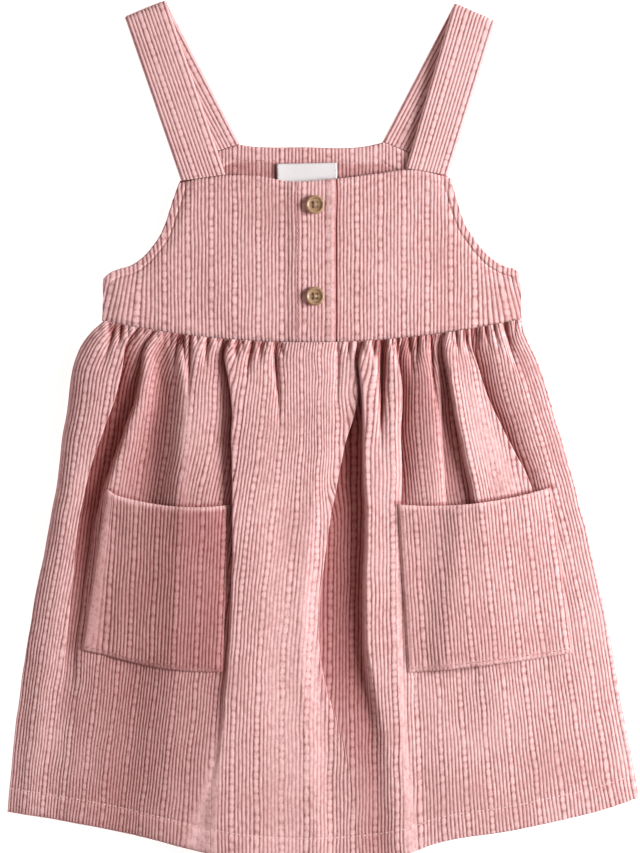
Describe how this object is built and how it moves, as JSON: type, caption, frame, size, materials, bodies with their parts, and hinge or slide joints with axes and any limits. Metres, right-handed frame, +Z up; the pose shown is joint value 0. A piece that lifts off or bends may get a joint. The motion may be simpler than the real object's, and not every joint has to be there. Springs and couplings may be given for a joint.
{
  "type": "toddler's pinafore dress, laid flat",
  "caption": "Sleeveless corduroy pinafore dress laid flat, with folded shoulder straps, buttoned bodice, gathered skirt and patch pockets.",
  "frame": {"origin": "on the surface that the dress lies on, under the middle of its outline", "axes": "+Y up the dress from hem to shoulder straps, +X to the right as seen from above, +Z up off the surface, out of the front of the dress"},
  "size_m": [0.3786, 0.5164, 0.0129],
  "materials": {
    "corduroy": "dusty rose cotton corduroy, five fine wales to each beaded wide wale, soft sheen on the pile",
    "button_wood": "satin wood grain with a raised rim",
    "label_satin": "plain white woven satin, blank"
  },
  "bodies": {
    "root": {"back_bodice": "corduroy", "back_facing": "corduroy", "back_skirt": "corduroy", "front_bodice_left": "corduroy", "front_bodice_right": "corduroy", "placket": "corduroy", "front_skirt": "corduroy", "pocket_left": "corduroy", "pocket_right": "corduroy", "strap_left": "corduroy", "strap_right": "corduroy", "button_top": "button_wood", "button_bottom": "button_wood", "neck_label": "label_satin"}
  },
  "joints": []
}
